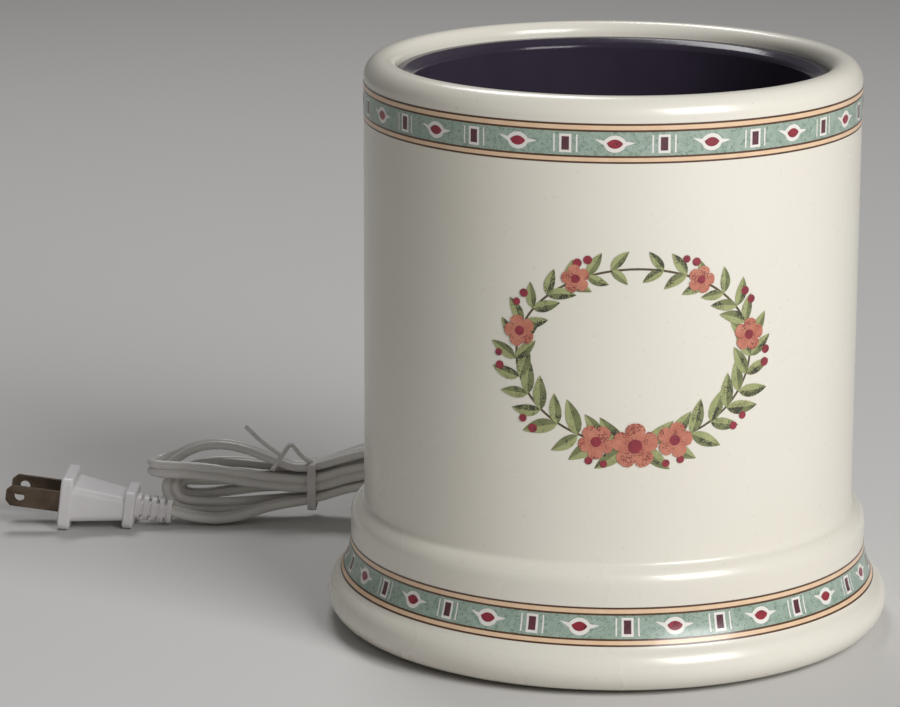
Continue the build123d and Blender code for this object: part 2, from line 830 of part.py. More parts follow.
# Cord figures: the bends, each tube against its section, and the hank's least gap to itself
print("lead bends", [round(radius, 1) for radius in arc_radii(lead_points)])
print("tail bends", [round(radius, 1) for radius in arc_radii(tail_points)])
section = cord_thick * (cord_width - cord_thick) + pi * cord_thick ** 2 / 4
cord_length = 0
for name, line, tube in (
    ("lead", lead_line, cord_lead), ("hank", hank_line, cord_hank), ("tail", tail_line, cord_tail),
):
    length = sum(edge.length for edge in line.edges())
    cord_length += length
    print(name, "length", round(length, 1), "filled", round(tube.part.volume / (section * length), 4))
print("cord length", round(cord_length, 1))

hank_wire = Wire(hank_line.edges())
sample_step = 1.0
samples = []
for index in range(int(hank_wire.length / sample_step)):
    offset = hank_wire.position_at(index * sample_step, position_mode=PositionMode.LENGTH) - hank_centre
    samples.append((offset.dot(along), offset.Z, offset.dot(across)))
skip = int(3 * cord_width / sample_step)
least_gap = min(
    max(abs(one[2] - two[2]) - cord_width, hypot(one[0] - two[0], one[1] - two[1]) - cord_thick)
    for index, one in enumerate(samples)
    for two in samples[index + skip:]
)
print("hank gap", round(least_gap, 2))
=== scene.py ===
import json
import random
from math import acos, atan2, cos, hypot, pi, radians, sin, tan

import bmesh
import bpy
from mathutils import Matrix, Vector


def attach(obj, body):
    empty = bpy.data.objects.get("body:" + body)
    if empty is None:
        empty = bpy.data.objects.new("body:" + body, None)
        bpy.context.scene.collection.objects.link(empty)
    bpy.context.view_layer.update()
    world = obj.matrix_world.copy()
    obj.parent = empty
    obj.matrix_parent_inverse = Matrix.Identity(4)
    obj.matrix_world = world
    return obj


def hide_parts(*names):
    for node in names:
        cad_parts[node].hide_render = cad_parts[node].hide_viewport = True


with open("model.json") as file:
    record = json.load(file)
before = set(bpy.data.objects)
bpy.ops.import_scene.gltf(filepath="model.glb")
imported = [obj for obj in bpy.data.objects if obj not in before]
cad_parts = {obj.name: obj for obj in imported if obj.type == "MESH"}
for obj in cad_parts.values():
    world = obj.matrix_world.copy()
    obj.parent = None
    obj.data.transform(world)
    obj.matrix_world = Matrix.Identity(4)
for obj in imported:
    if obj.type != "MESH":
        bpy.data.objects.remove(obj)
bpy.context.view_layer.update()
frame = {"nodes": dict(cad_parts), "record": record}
scene = bpy.context.scene
scene.view_settings.view_transform = "Standard"

# Sizes in millimetres, as in the part's source. Pieces are modelled in millimetres and end in metres.
MM = 0.001
BODY_R = 70.0
COLLAR_R = 73.9
FOOT_R = 80.5
COVE_R = 74.55
FOOT_ROUND = 6.5
FOOT_TOP_ANGLE = radians(57)
BASE_Z = 1.2
COVE_MID = 18.5
COVE_TOP = 24.5
COLLAR_TOP = 28.7
SHOULDER_ROUND = 5.2
SHOULDER_FILLET = 1.8
TOP_Z = 162.9
RIM_OUT_ROUND = 5.4
RIM_IN_ROUND = 3.4
MOUTH_R = 61.0
LEDGE_Z = 156.4
LEDGE_R = 58.6
LEDGE_EDGE = 5.0
LEDGE_SLOPE = 12.0
CAVITY_R = 65.4
CAVITY_LOW_R = 66.0
CAVITY_STEP_HIGH = 32.8
CAVITY_STEP_LOW = 32.2
COVER_SEAT_Z = 5.2
FOOT_IN_R = 68.5
LIP_Z = 158.8
LIP_OUT_R = 60.6
LIP_IN_R = 58.6
WELL_R = 55.6
WELL_THICK = 1.2
LIP_DROP = 1.6
WELL_CORNER = 2.0
WELL_FLOOR = 43.8
WELL_FLOOR_ROUND = 8.0
TURN_STEPS = 288

# Camera and stage
CAMERA_PLACE = (-0.1116, -1.0618, 0.3385)
CAMERA_AIM = (0.0603, 0.96933, -0.23823)
CAMERA_ROLL = radians(0.182)
CAMERA_LENS = 153.68
CAMERA_SENSOR = 36
FLOOR_HALF = 6.0
LIGHT_AIM = (0, 0, 0.08)
WORLD_STRENGTH = 0.12


def srgb(red, green, blue):
    """A colour as it is seen, 0 to 255, as the linear values that shaders take."""
    shares = [value / 255 for value in (red, green, blue)]
    return tuple(s / 12.92 if s < 0.04045 else ((s + 0.055) / 1.055) ** 2.4 for s in shares) + (1.0,)


# Shader groups
def shader_group(name, inputs, outputs):
    """An empty shader group with its named sockets, and its two end nodes."""
    group = bpy.data.node_groups.new(name, "ShaderNodeTree")
    for title, kind, value in inputs:
        socket = group.interface.new_socket(name=title, in_out="INPUT", socket_type=kind)
        socket.default_value = value
    for title, kind in outputs:
        group.interface.new_socket(name=title, in_out="OUTPUT", socket_type=kind)
    return group, group.nodes.new("NodeGroupInput"), group.nodes.new("NodeGroupOutput")


COLOUR = "NodeSocketColor"
FLOAT = "NodeSocketFloat"
WHITE = (1.0, 1.0, 1.0, 1.0)


def noise_node(tree, scale, detail):
    """A noise on the piece's own coordinates; the scale is a number or a socket."""
    place = tree.nodes.new("ShaderNodeTexCoord")
    noise = tree.nodes.new("ShaderNodeTexNoise")
    noise.inputs["Detail"].default_value = detail
    tree.links.new(place.outputs["Object"], noise.inputs["Vector"])
    if isinstance(scale, (int, float)):
        noise.inputs["Scale"].default_value = scale
    else:
        tree.links.new(scale, noise.inputs["Scale"])
    return noise.outputs["Fac"]


def span(tree, value, low, high, to_low, to_high):
    """Maps a value from one span to another; each end is a number or a socket."""
    node = tree.nodes.new("ShaderNodeMapRange")
    names = ("Value", "From Min", "From Max", "To Min", "To Max")
    for name, part in zip(names, (value, low, high, to_low, to_high)):
        if isinstance(part, (int, float)):
            node.inputs[name].default_value = part
        else:
            tree.links.new(part, node.inputs[name])
    return node.outputs["Result"]


def blend_colours(tree, share, first, second):
    """Mixes two colour sockets by a share."""
    node = tree.nodes.new("ShaderNodeMix")
    node.data_type = "RGBA"
    tree.links.new(share, node.inputs["Factor"])
    tree.links.new(first, node.inputs["A"])
    tree.links.new(second, node.inputs["B"])
    return node.outputs["Result"]


def make_drift():
    """Slow change of tone and gloss over a surface."""
    group, given, out = shader_group(
        "tone_drift",
        [("Main", COLOUR, WHITE), ("Drift", COLOUR, WHITE), ("Scale", FLOAT, 20.0), ("Spread", FLOAT, 0.5),
         ("Gloss", FLOAT, 0.3), ("Dull", FLOAT, 0.4)],
        [("Color", COLOUR), ("Roughness", FLOAT)],
    )
    slow = noise_node(group, given.outputs["Scale"], 4.0)
    share = span(group, slow, 0.3, 0.7, 0.0, given.outputs["Spread"])
    tone = blend_colours(group, share, given.outputs["Main"], given.outputs["Drift"])
    group.links.new(tone, out.inputs["Color"])
    gloss = span(group, slow, 0.3, 0.7, given.outputs["Gloss"], given.outputs["Dull"])
    group.links.new(gloss, out.inputs["Roughness"])
    return group


def make_relief():
    """Fine unevenness: two sizes of noise as one height."""
    group, given, out = shader_group(
        "fine_relief", [("Scale", FLOAT, 400.0), ("Coarse", FLOAT, 60.0)], [("Height", FLOAT)]
    )
    fine = noise_node(group, given.outputs["Scale"], 2.0)
    coarse = noise_node(group, given.outputs["Coarse"], 1.0)
    total = group.nodes.new("ShaderNodeMath")
    total.operation = "ADD"
    group.links.new(fine, total.inputs[0])
    group.links.new(coarse, total.inputs[1])
    group.links.new(total.outputs[0], out.inputs["Height"])
    return group


def make_stipple():
    """Dots of a second colour, thicker where a slow noise is high."""
    group, given, out = shader_group(
        "stipple",
        [("Ground", COLOUR, WHITE), ("Dots", COLOUR, WHITE), ("Scale", FLOAT, 2000.0), ("Cover", FLOAT, 0.4),
         ("Patches", FLOAT, 120.0)],
        [("Color", COLOUR)],
    )
    place = group.nodes.new("ShaderNodeTexCoord")
    cells = group.nodes.new("ShaderNodeTexVoronoi")
    group.links.new(place.outputs["Object"], cells.inputs["Vector"])
    group.links.new(given.outputs["Scale"], cells.inputs["Scale"])
    patches = noise_node(group, given.outputs["Patches"], 2.0)
    reach = span(group, patches, 0.35, 0.65, 0.0, given.outputs["Cover"])
    edge = group.nodes.new("ShaderNodeMath")
    edge.operation = "SUBTRACT"
    group.links.new(reach, edge.inputs[0])
    group.links.new(cells.outputs["Distance"], edge.inputs[1])
    mask = span(group, edge.outputs[0], -0.08, 0.08, 0.0, 1.0)
    dots = blend_colours(group, mask, given.outputs["Ground"], given.outputs["Dots"])
    group.links.new(dots, out.inputs["Color"])
    return group


DRIFT = make_drift()
RELIEF = make_relief()
STIPPLE = make_stipple()


def place_group(tree, group, **values):
    """A shader group in a material, with this material's own values."""
    node = tree.nodes.new("ShaderNodeGroup")
    node.node_tree = group
    for name, value in values.items():
        node.inputs[name].default_value = value
    return node


def finish(name, main, drift, gloss, dull, scale=25.0, spread=0.6, grain=900.0, swell=60.0, relief=0.05,
           dots=None, dot_scale=2000.0, cover=0.4, patches=120.0, metallic=0.0, coat=0.0, coat_rough=0.1,
           ior=1.5, sheen=0.0):
    """A material with drifting tone and gloss, fine relief and, where asked, stippled dots."""
    material = bpy.data.materials.new(name)
    material.use_nodes = True
    tree = material.node_tree
    shader = tree.nodes["Principled BSDF"]
    shader.inputs["Metallic"].default_value = metallic
    shader.inputs["Coat Weight"].default_value = coat
    shader.inputs["Coat Roughness"].default_value = coat_rough
    shader.inputs["IOR"].default_value = ior
    shader.inputs["Sheen Weight"].default_value = sheen
    tone = place_group(
        tree, DRIFT, Main=main, Drift=drift, Scale=scale, Spread=spread, Gloss=gloss, Dull=dull
    )
    colour = tone.outputs["Color"]
    if dots:
        stipple = place_group(tree, STIPPLE, Dots=dots, Scale=dot_scale, Cover=cover, Patches=patches)
        tree.links.new(colour, stipple.inputs["Ground"])
        colour = stipple.outputs["Color"]
    tree.links.new(colour, shader.inputs["Base Color"])
    tree.links.new(tone.outputs["Roughness"], shader.inputs["Roughness"])
    uneven = place_group(tree, RELIEF, Scale=grain, Coarse=swell)
    bump = tree.nodes.new("ShaderNodeBump")
    bump.inputs["Strength"].default_value = relief
    bump.inputs["Distance"].default_value = MM
    tree.links.new(uneven.outputs["Height"], bump.inputs["Height"])
    tree.links.new(bump.outputs["Normal"], shader.inputs["Normal"])
    return material


GLAZE = {"grain": 500, "swell": 30, "relief": 0.02, "coat": 0.3, "coat_rough": 0.12}


def print_finish(name, main, drift, scale, **more):
    """A printed colour under the crock's glaze."""
    return finish(name, main, drift, 0.28, 0.36, scale=scale, **GLAZE, **more)


CREAM = finish("cream_glaze", srgb(234, 230, 218), srgb(228, 222, 207), 0.24, 0.33, scale=14, spread=0.5,
               dots=srgb(206, 196, 176), dot_scale=260, cover=0.04, patches=60, **GLAZE)
NAVY = finish("navy_enamel", srgb(60, 52, 66), srgb(46, 41, 54), 0.10, 0.20, scale=30, spread=0.7,
              grain=700, swell=120, relief=0.03, dots=srgb(66, 60, 80), dot_scale=900, cover=0.05,
              patches=150, ior=1.33)
PVC = finish("white_flex_pvc", srgb(226, 223, 219), srgb(216, 212, 207), 0.30, 0.42, scale=60,
             grain=1500, swell=220, relief=0.08)
PLUG_WHITE = finish("moulded_plug_white", srgb(234, 231, 232), srgb(224, 220, 220), 0.34, 0.46, scale=90,
                    grain=2200, swell=300, relief=0.10)
TIE_WHITE = finish("tie_white", srgb(222, 219, 216), srgb(205, 201, 197), 0.40, 0.55, scale=200,
                   grain=2600, swell=500, relief=0.2)
BRASS = finish("dull_brass", srgb(128, 112, 96), srgb(84, 72, 64), 0.28, 0.50, scale=160, spread=0.9,
               grain=3000, swell=500, relief=0.12, metallic=1.0)
BAND_GREEN = print_finish("band_green", srgb(148, 168, 152), srgb(168, 184, 172), 420, spread=0.9,
                          dots=srgb(124, 147, 130), dot_scale=2300, cover=0.6, patches=900)
BAND_TAN = print_finish("band_tan", srgb(238, 207, 174), srgb(232, 194, 156), 260, spread=0.8)
BAND_BROWN = print_finish("band_brown", srgb(74, 48, 30), srgb(96, 62, 40), 300, spread=0.8)
PRINT_WHITE = print_finish("print_white", srgb(240, 236, 230), srgb(230, 225, 216), 260)
PRINT_RED = print_finish("print_red", srgb(160, 50, 66), srgb(128, 38, 52), 420, spread=0.9,
                         dots=srgb(96, 36, 46), dot_scale=2600, cover=0.5, patches=600)
PRINT_MAROON = print_finish("print_maroon", srgb(104, 58, 66), srgb(80, 46, 54), 420, spread=0.9,
                            dots=srgb(60, 36, 42), dot_scale=2600, cover=0.5, patches=600)
LEAF_LIGHT = print_finish("leaf_light", srgb(172, 176, 124), srgb(150, 156, 102), 260, spread=0.9,
                          dots=srgb(98, 100, 66), dot_scale=2300, cover=0.5, patches=300)
LEAF_DARK = print_finish("leaf_dark", srgb(132, 138, 92), srgb(106, 112, 72), 260, spread=0.9,
                         dots=srgb(62, 62, 46), dot_scale=2300, cover=0.75, patches=300)
PETAL = print_finish("petal_terracotta", srgb(206, 136, 112), srgb(184, 104, 84), 300, spread=0.9,
                     dots=srgb(128, 58, 52), dot_scale=2400, cover=0.5, patches=320)
STEM = print_finish("stem_brown", srgb(96, 84, 56), srgb(74, 60, 42), 300, spread=0.9)

NODE_FINISHES = {
    "silicone": finish("grey_silicone", srgb(178, 172, 164), srgb(160, 154, 146), 0.5, 0.65, relief=0.1),
    "heater_silicone": finish("heater_red", srgb(172, 104, 84), srgb(150, 88, 70), 0.5, 0.65, relief=0.3),
    "steel": finish("plated_steel", srgb(200, 200, 200), srgb(170, 170, 172), 0.25, 0.42, scale=120,
                    grain=2500, relief=0.1, metallic=1.0),
    "glass_felt": finish("glass_felt", srgb(232, 228, 216), srgb(214, 208, 192), 0.85, 0.95, scale=180,
                         grain=1800, swell=400, relief=0.8, sheen=0.2),
    "shield_sheet": finish("shield_aluminium", srgb(216, 216, 218), srgb(190, 190, 194), 0.25, 0.4, scale=60,
                           grain=1600, relief=0.1, metallic=1.0),
    "fuse_sleeve": finish("woven_sleeve", srgb(236, 232, 222), srgb(216, 210, 196), 0.7, 0.85, scale=700,
                          grain=3000, swell=900, relief=0.6),
    "cover_paint": finish("cover_grey_paint", srgb(112, 112, 114), srgb(98, 98, 101), 0.42, 0.56, scale=50,
                          grain=2200, swell=300, relief=0.25),
    "foot_rubber": finish("foot_rubber", srgb(56, 56, 58), srgb(46, 46, 48), 0.62, 0.8, scale=120,
                          grain=2400, relief=0.25),
    "live_wire": finish("black_wire_sleeve", srgb(70, 70, 70), srgb(56, 56, 56), 0.4, 0.5, relief=0.1),
    "neutral_wire": finish("white_wire_sleeve", srgb(230, 228, 224), srgb(214, 212, 206), 0.4, 0.5,
                           relief=0.1),
    "splice_nylon": finish("splice_nylon", srgb(196, 199, 203), srgb(178, 182, 187), 0.4, 0.5, relief=0.1),
    "white_pvc": PLUG_WHITE,
    "blade_brass": BRASS,
}
for part in frame["record"]["subparts"]:
    node_finish = NODE_FINISHES.get(part["material_slot"])
    if node_finish:
        for place in frame["nodes"][part["node"]].material_slots:
            place.material = node_finish


# Modelling helpers
MERGE = 0.001


def new_piece(name, shape, materials, replaces=(), sharp=radians(40)):
    """Turns a bmesh in millimetres into a finished piece in metres."""
    bmesh.ops.scale(shape, vec=(MM, MM, MM), verts=shape.verts)
    mesh = bpy.data.meshes.new(name)
    shape.to_mesh(mesh)
    shape.free()
    for material in materials:
        mesh.materials.append(material)
    mesh.shade_smooth()
    mesh.set_sharp_from_angle(angle=sharp)
    piece = bpy.data.objects.new(name, mesh)
    scene.collection.objects.link(piece)
    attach(piece, "root")
    if replaces:
        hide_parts(*replaces)
    return piece


def run_to(shape, last, radius, height):
    """Draws a straight run of a turned profile from its last vertex."""
    new = bmesh.ops.extrude_vert_indiv(shape, verts=[last])["verts"][0]
    new.co = (radius, 0, height)
    return new


def arc_about(shape, last, radius, height, turn, steps):
    """Draws an arc of a turned profile about a centre."""
    made = bmesh.ops.spin(
        shape, geom=[last], cent=(radius, 0, height), axis=(0, -1, 0), angle=turn, steps=steps,
        use_merge=False, use_duplicate=False,
    )
    return next(part for part in made["geom_last"] if isinstance(part, bmesh.types.BMVert))


def turn_profile(shape):
    """Turns the drawn profile once round the crock's axis."""
    bmesh.ops.spin(
        shape, geom=shape.verts[:] + shape.edges[:], cent=(0, 0, 0), axis=(0, 0, 1), angle=2 * pi,
        steps=TURN_STEPS, use_merge=True, use_duplicate=False,
    )
    bmesh.ops.remove_doubles(shape, verts=shape.verts, dist=MERGE)
    bmesh.ops.recalc_face_normals(shape, faces=shape.faces)


def colour_faces(verts, material):
    """Gives the faces of fresh vertices one of the piece's materials."""
    for face in {face for vert in verts for face in vert.link_faces}:
        face.material_index = material


def face_outwards(shape):
    """Turns the faces of a print away from the crock's axis."""
    inward = [f for f in shape.faces if f.normal.xy.dot(f.calc_center_median().xy) < 0]
    bmesh.ops.reverse_faces(shape, faces=inward)


def circle_through(one, two, three):
    """Centre of the circle through three points of a profile."""
    (ax, ay), (bx, by), (cx, cy) = one, two, three
    twice = 2 * (ax * (by - cy) + bx * (cy - ay) + cx * (ay - by))
    a2, b2, c2 = ax * ax + ay * ay, bx * bx + by * by, cx * cx + cy * cy
    return (
        (a2 * (by - cy) + b2 * (cy - ay) + c2 * (ay - by)) / twice,
        (a2 * (cx - bx) + b2 * (ax - cx) + c2 * (bx - ax)) / twice,
    )


# Crock
foot_centre = (FOOT_R - FOOT_ROUND, BASE_Z + FOOT_ROUND)
cove_low = (
    foot_centre[0] + FOOT_ROUND * cos(FOOT_TOP_ANGLE),
    foot_centre[1] + FOOT_ROUND * sin(FOOT_TOP_ANGLE),
)
cove_high = (COLLAR_R, BASE_Z + COVE_TOP)
cove_centre = circle_through(cove_low, (COVE_R, BASE_Z + COVE_MID), cove_high)
cove_radius = hypot(cove_low[0] - cove_centre[0], cove_low[1] - cove_centre[1])
shoulder_angle = acos(1 - (COLLAR_R - BODY_R) / (SHOULDER_ROUND + SHOULDER_FILLET))
shoulder_rise = (SHOULDER_ROUND + SHOULDER_FILLET) * sin(shoulder_angle)


def centre_angle(centre, point):
    """Direction of a point of the profile from a centre, 0 to one turn."""
    return atan2(point[1] - centre[1], point[0] - centre[0]) % (2 * pi)


def make_crock():
    """The glazed crock, turned from its profile: foot, cove, collar, shoulder, wall, rim and inside."""
    shape = bmesh.new()
    pen = shape.verts.new((FOOT_IN_R, 0, BASE_Z))
    pen = run_to(shape, pen, foot_centre[0], BASE_Z)
    pen = arc_about(shape, pen, *foot_centre, pi / 2 + FOOT_TOP_ANGLE, steps=22)
    cove_turn = centre_angle(cove_centre, cove_high) - centre_angle(cove_centre, cove_low)
    pen = arc_about(shape, pen, *cove_centre, cove_turn, steps=14)
    pen = run_to(shape, pen, COLLAR_R, BASE_Z + COLLAR_TOP)
    pen = arc_about(shape, pen, COLLAR_R - SHOULDER_ROUND, BASE_Z + COLLAR_TOP, shoulder_angle, steps=10)
    hollow = (BODY_R + SHOULDER_FILLET, BASE_Z + COLLAR_TOP + shoulder_rise)
    pen = arc_about(shape, pen, *hollow, -shoulder_angle, steps=7)
    wall_top = TOP_Z - RIM_OUT_ROUND
    for share in (0.25, 0.5, 0.75, 1.0):
        pen = run_to(shape, pen, BODY_R, hollow[1] + (wall_top - hollow[1]) * share)
    pen = arc_about(shape, pen, BODY_R - RIM_OUT_ROUND, wall_top, pi / 2, steps=14)
    pen = run_to(shape, pen, MOUTH_R + RIM_IN_ROUND, TOP_Z)
    pen = arc_about(shape, pen, MOUTH_R + RIM_IN_ROUND, TOP_Z - RIM_IN_ROUND, pi / 2, steps=10)
    inside = (
        (MOUTH_R, LEDGE_Z), (LEDGE_R, LEDGE_Z), (LEDGE_R, LEDGE_Z - LEDGE_EDGE),
        (CAVITY_R, LEDGE_Z - LEDGE_SLOPE), (CAVITY_R, CAVITY_STEP_HIGH), (CAVITY_LOW_R, CAVITY_STEP_LOW),
        (CAVITY_LOW_R, COVER_SEAT_Z), (FOOT_IN_R, COVER_SEAT_Z), (FOOT_IN_R, BASE_Z),
    )
    for radius, height in inside:
        pen = run_to(shape, pen, radius, height)
    turn_profile(shape)
    return new_piece("glazed_crock", shape, [CREAM], ["outer_shell"], radians(50))


def corner_arc(shape, pen, before, corner, after, radius, steps):
    """Draws to a corner of a profile and round it."""
    to_before = (Vector(before) - Vector(corner)).normalized()
    to_after = (Vector(after) - Vector(corner)).normalized()
    half = acos(to_before.dot(to_after)) / 2
    start = Vector(corner) + to_before * (radius / tan(half))
    middle = Vector(corner) + (to_before + to_after).normalized() * (radius / sin(half))
    side = to_before.x * to_after.y - to_before.y * to_after.x
    pen = run_to(shape, pen, start.x, start.y)
    return arc_about(shape, pen, middle.x, middle.y, (pi - 2 * half) * (-1 if side > 0 else 1), steps)


def make_well():
    """The enamelled well: flat lip, slope, rolled corner, wall and floor, and its underside."""
    shape = bmesh.new()
    inner = [
        (LIP_OUT_R, LIP_Z), (LIP_IN_R, LIP_Z), (WELL_R, LIP_Z - LIP_DROP), (WELL_R, WELL_FLOOR),
        (0, WELL_FLOOR),
    ]
    outer_r = WELL_R + WELL_THICK
    outer_drop = LIP_DROP * (LIP_IN_R - outer_r) / (LIP_IN_R - WELL_R)
    outer = [
        (0, WELL_FLOOR - WELL_THICK), (outer_r, WELL_FLOOR - WELL_THICK),
        (outer_r, LIP_Z - WELL_THICK - outer_drop), (LIP_IN_R, LIP_Z - WELL_THICK),
        (LIP_OUT_R, LIP_Z - WELL_THICK),
    ]
    thin_corner = WELL_CORNER - WELL_THICK / 2
    pen = shape.verts.new((LIP_OUT_R, 0, LIP_Z))
    for index, radius in ((1, WELL_CORNER), (2, WELL_CORNER), (3, WELL_FLOOR_ROUND)):
        pen = corner_arc(shape, pen, inner[index - 1], inner[index], inner[index + 1], radius, steps=10)
    pen = run_to(shape, pen, *inner[4])
    pen = run_to(shape, pen, *outer[0])
    for index, radius in ((1, WELL_FLOOR_ROUND + WELL_THICK), (2, thin_corner), (3, thin_corner)):
        pen = corner_arc(shape, pen, outer[index - 1], outer[index], outer[index + 1], radius, steps=8)
    pen = run_to(shape, pen, *outer[4])
    run_to(shape, pen, LIP_OUT_R, LIP_Z)
    turn_profile(shape)
    return new_piece("enamel_well", shape, [NAVY], ["heat_well"], radians(50))


make_crock()
make_well()


# Printed bands
PRINT_LIFT = 0.06
MOTIF_LIFT = 0.10
UPPER_LINES = (155.2, 154.65, 153.5, 152.95, 146.6, 146.05, 145.0, 144.5)
LOWER_LINES = (23.15, 22.62, 21.47, 20.92, 14.83, 14.35, 13.37, 12.93)
GREEN, TAN, BROWN = range(3)
STRIPES = (BROWN, TAN, BROWN, GREEN, BROWN, TAN, BROWN)
BAND_CUT = 0.5
WHITE_INK, RED_INK, MAROON_INK = range(3)
OVERPRINT = 0.03
OVAL = {"tall": 4.6, "wide": 6.0, "tips": 2.3}
OVAL_HEART = {"tall": 2.5, "wide": 4.3, "tips": 0}
OVAL_FULL = 0.55
HEART_FULL = 0.8
WISP_FROM = 0.38
WISP_TAPER = 0.7
LEFT_SWEEP = 0.42
RIGHT_SWEEP = 0.1
BOX = {"tall": 5.0, "wide": 3.3}
BOX_HEART = {"tall": 3.6, "wide": 2.0}
BAR = {"tall": 4.8, "wide": 0.45}
BAR_AWAY = 3.05


def wall_place(height, lift):
    """Radius and height of a print that lies a lift off the crock's outside, where its height is given."""
    if height > BASE_Z + COLLAR_TOP:
        return BODY_R + lift, height
    if height > cove_low[1]:
        share = (cove_radius - lift) / cove_radius
        rise = height - cove_centre[1]
        return cove_centre[0] - (cove_radius ** 2 - rise ** 2) ** 0.5 * share, cove_centre[1] + rise * share
    share = (FOOT_ROUND + lift) / FOOT_ROUND
    rise = height - foot_centre[1]
    return foot_centre[0] + (FOOT_ROUND ** 2 - rise ** 2) ** 0.5 * share, foot_centre[1] + rise * share


def make_band(name, lines):
    """One band of stripes: brown lines, tan edges and a green ground."""
    shape = bmesh.new()
    pen = None
    heights = []
    for upper, lower in zip(lines, lines[1:]):
        cuts = max(3, round((upper - lower) / BAND_CUT))
        heights += [upper + (lower - upper) * cut / cuts for cut in range(cuts)]
    for height in heights + [lines[-1]]:
        radius, level = wall_place(BASE_Z + height, PRINT_LIFT)
        pen = run_to(shape, pen, radius, level) if pen else shape.verts.new((radius, 0, level))
    turn_profile(shape)
    face_outwards(shape)
    for face in shape.faces:
        height = face.calc_center_median().z - BASE_Z
        stripe = sum(line > height for line in lines) - 1
        face.material_index = STRIPES[max(0, min(stripe, len(STRIPES) - 1))]
    return new_piece(name, shape, [BAND_GREEN, BAND_TAN, BAND_BROWN])


def wrap_on_wall(shape, middle, radius, lift):
    """Lays a flat print, drawn along and up, on the wall about the front."""
    for vert in shape.verts:
        angle = vert.co.x / radius
        reach, height = wall_place(middle + vert.co.y, lift + vert.co.z)
        vert.co = (reach * sin(angle), -reach * cos(angle), height)


def add_rectangle(shape, along, tall, wide, rise, material):
    """A plain rectangle of a print, standing at a place along the band."""
    made = bmesh.ops.create_grid(shape, x_segments=3, y_segments=8, size=0.5)["verts"]
    colour_faces(made, material)
    bmesh.ops.scale(shape, vec=(wide, tall, 1), verts=made)
    bmesh.ops.translate(shape, vec=(along, 0, rise), verts=made)


def add_oval(shape, along, tall, wide, tips, rise, material):
    """A pointed oval of a print; its tips run on as thin wisps that rise a little."""
    made = bmesh.ops.create_grid(shape, x_segments=26, y_segments=8, size=1)["verts"]
    colour_faces(made, material)
    for vert in made:
        place = vert.co.x * (wide / 2 + tips)
        inner = max(0, 1 - (2 * place / wide) ** 2)
        wisp = max(0, abs(place) - wide * WISP_FROM)
        taper = (1 - abs(vert.co.x)) ** WISP_TAPER if tips else 0
        half = max(tall / 2 * inner ** (OVAL_FULL if tips else HEART_FULL), taper)
        sweep = LEFT_SWEEP if place < 0 else RIGHT_SWEEP
        vert.co = (place + along, vert.co.y * half + sweep * wisp, rise)
    bmesh.ops.remove_doubles(shape, verts=made, dist=MERGE)


def make_motifs(name, lines, count, step, first_angle):
    """Barred rectangles and pointed ovals in turn along a band, to each side of its first rectangle."""
    shape = bmesh.new()
    middle = BASE_Z + (lines[3] + lines[4]) / 2
    radius = wall_place(middle, 0)[0]
    for index in range(-(count // 2), count - count // 2):
        along = (first_angle + index * step) * radius
        if index % 2:
            add_oval(shape, along, **OVAL, rise=0, material=WHITE_INK)
            add_oval(shape, along, **OVAL_HEART, rise=OVERPRINT, material=RED_INK)
        else:
            add_rectangle(shape, along, **BOX, rise=0, material=WHITE_INK)
            add_rectangle(shape, along, **BOX_HEART, rise=OVERPRINT, material=MAROON_INK)
            for bar in (-BAR_AWAY, BAR_AWAY):
                add_rectangle(shape, along + bar, **BAR, rise=0, material=WHITE_INK)
    wrap_on_wall(shape, middle, radius, MOTIF_LIFT)
    face_outwards(shape)
    return new_piece(name, shape, [PRINT_WHITE, PRINT_RED, PRINT_MAROON])


make_band("upper_band", UPPER_LINES)
make_band("lower_band", LOWER_LINES)
make_motifs("upper_band_motifs", UPPER_LINES, count=33, step=radians(10.77), first_angle=radians(-16.1))
make_motifs("lower_band_motifs", LOWER_LINES, count=36, step=radians(10), first_angle=radians(-1.4))


# Leaf wreath on the front
WREATH_MIDDLE = 93.0
WREATH_WIDE = 33.0
WREATH_TALL = 24.5
STEM_WIDE = 0.6
BRANCH_STEPS = 15
BRANCH_REACH = 0.97
LEAF_SLIM = 0.4
LEAF_BOW = 0.12
BERRY_REACH = 6.2
BERRY_SPREAD = 0.35
BERRY_RISE = 0.14
BLOSSOM_RISE = 0.16
HEART_RISE = 0.07
PETALS = 5
LIGHT, DARK, TERRACOTTA, RED, BRANCH = range(5)
BLOSSOMS = (
    (0, -WREATH_TALL, 6.4, 0.3), (-10.5, -WREATH_TALL + 1.2, 4.9, 0.9),
    (10.8, -WREATH_TALL + 1.4, 5.0, 0.1), (-31.8, 6.2, 4.4, 0.6), (32.2, 4.4, 4.6, 0.2),
    (-16.5, 21.4, 3.9, 0.5), (17.5, 20.8, 3.8, 0.0),
)
chance = random.Random(17)


def set_down(shape, made, along, up, turn):
    """Turns a small print and puts it in its place in the wreath."""
    bmesh.ops.rotate(shape, cent=(0, 0, 0), matrix=Matrix.Rotation(turn, 3, "Z"), verts=made)
    bmesh.ops.translate(shape, vec=(along, up, 0), verts=made)


def add_leaf(shape, along, up, turn, length, width, rise):
    """A leaf with its stalk at the given place: a light and a dark half either side of its rib."""
    made = bmesh.ops.create_grid(shape, x_segments=8, y_segments=4, size=1)["verts"]
    faces = {face for vert in made for face in vert.link_faces}
    for face in faces:
        face.material_index = LIGHT if face.calc_center_median().y > 0 else DARK
    bow = chance.uniform(-LEAF_BOW, LEAF_BOW)
    for vert in made:
        share = (vert.co.x + 1) / 2
        half = width / 2 * sin(pi * share ** 0.8) ** 0.85 if 0 < share < 1 else 0
        vert.co = (length * share, vert.co.y * half + bow * length * share * (1 - share) * 2, rise)
    bmesh.ops.remove_doubles(shape, verts=made, dist=MERGE)
    set_down(shape, [v for v in made if v.is_valid], along, up, turn)


